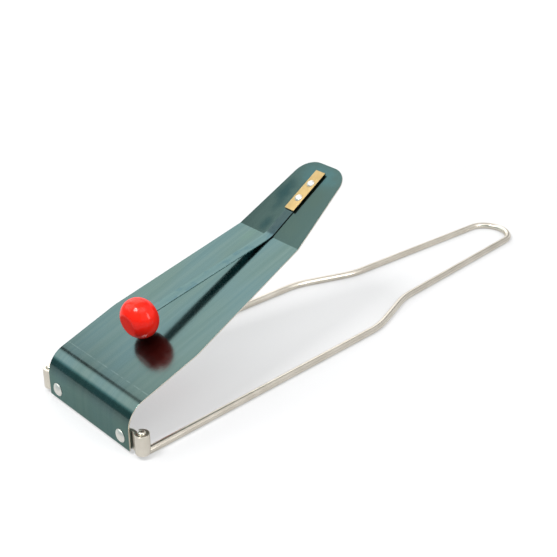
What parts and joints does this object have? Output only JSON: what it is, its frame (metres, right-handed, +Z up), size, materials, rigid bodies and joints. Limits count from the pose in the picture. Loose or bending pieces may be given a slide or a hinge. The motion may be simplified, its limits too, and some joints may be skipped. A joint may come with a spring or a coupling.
{
  "type": "flexatone",
  "caption": "Flexatone: spring steel blade riveted to a wire frame, with wooden balls on spring arms that strike it from both sides.",
  "frame": {"origin": "bottom centre of the bounding box, on the surface that the wire frame lies on, in the middle plane", "axes": "+X from the crossbar to the bow of the handle, +Y to the left seen from the crossbar, +Z up, away from the surface"},
  "size_m": [0.3003, 0.0778, 0.0833],
  "materials": {
    "nickel_wire": "bright nickel plate on round steel wire",
    "nickel_strip": "nickel plate on steel strip",
    "blued_steel": "blued spring steel, fine lengthwise polish",
    "arm_steel": "blued spring steel strip",
    "rivet_metal": "bright domed rivets",
    "clamp_brass": "satin brass plate",
    "red_lacquer": "gloss lacquer on turned wood"
  },
  "bodies": {
    "frame": {"wire_frame": "nickel_wire", "crossbar": "nickel_strip", "blade_foot": "blued_steel", "foot_rivet_left": "rivet_metal", "foot_rivet_right": "rivet_metal"},
    "tongue": {"blade_tongue": "blued_steel", "upper_arm_root": "arm_steel", "lower_arm_root": "arm_steel", "upper_clamp_plate": "clamp_brass", "lower_clamp_plate": "clamp_brass", "clamp_rivet_near_crease": "rivet_metal", "clamp_rivet_near_tip": "rivet_metal"},
    "upper_arm": {"upper_arm_spring": "arm_steel", "upper_ball": "red_lacquer"},
    "lower_arm": {"lower_arm_spring": "arm_steel", "lower_ball": "red_lacquer"}
  },
  "joints": [
    {"name": "blade_flex", "type": "hinge", "parent": "frame", "child": "tongue", "pos_m": [-0.14026, 0, 0.02342], "axis": [0, 1, 0], "range_deg": [0, 8], "stiffness_Nm_per_rad": 4.4, "springref_deg": -0.4},
    {"name": "upper_arm_flex", "type": "hinge", "parent": "tongue", "child": "upper_arm", "pos_m": [-0.04023, 0, 0.05818], "axis": [0, 1, 0], "range_deg": [-0.4, 7], "stiffness_Nm_per_rad": 0.4, "springref_deg": 0.34},
    {"name": "lower_arm_flex", "type": "hinge", "parent": "tongue", "child": "lower_arm", "pos_m": [-0.03997, 0, 0.05764], "axis": [0, -1, 0], "range_deg": [-0.4, 7], "stiffness_Nm_per_rad": 0.4, "springref_deg": -0.34}
  ]
}
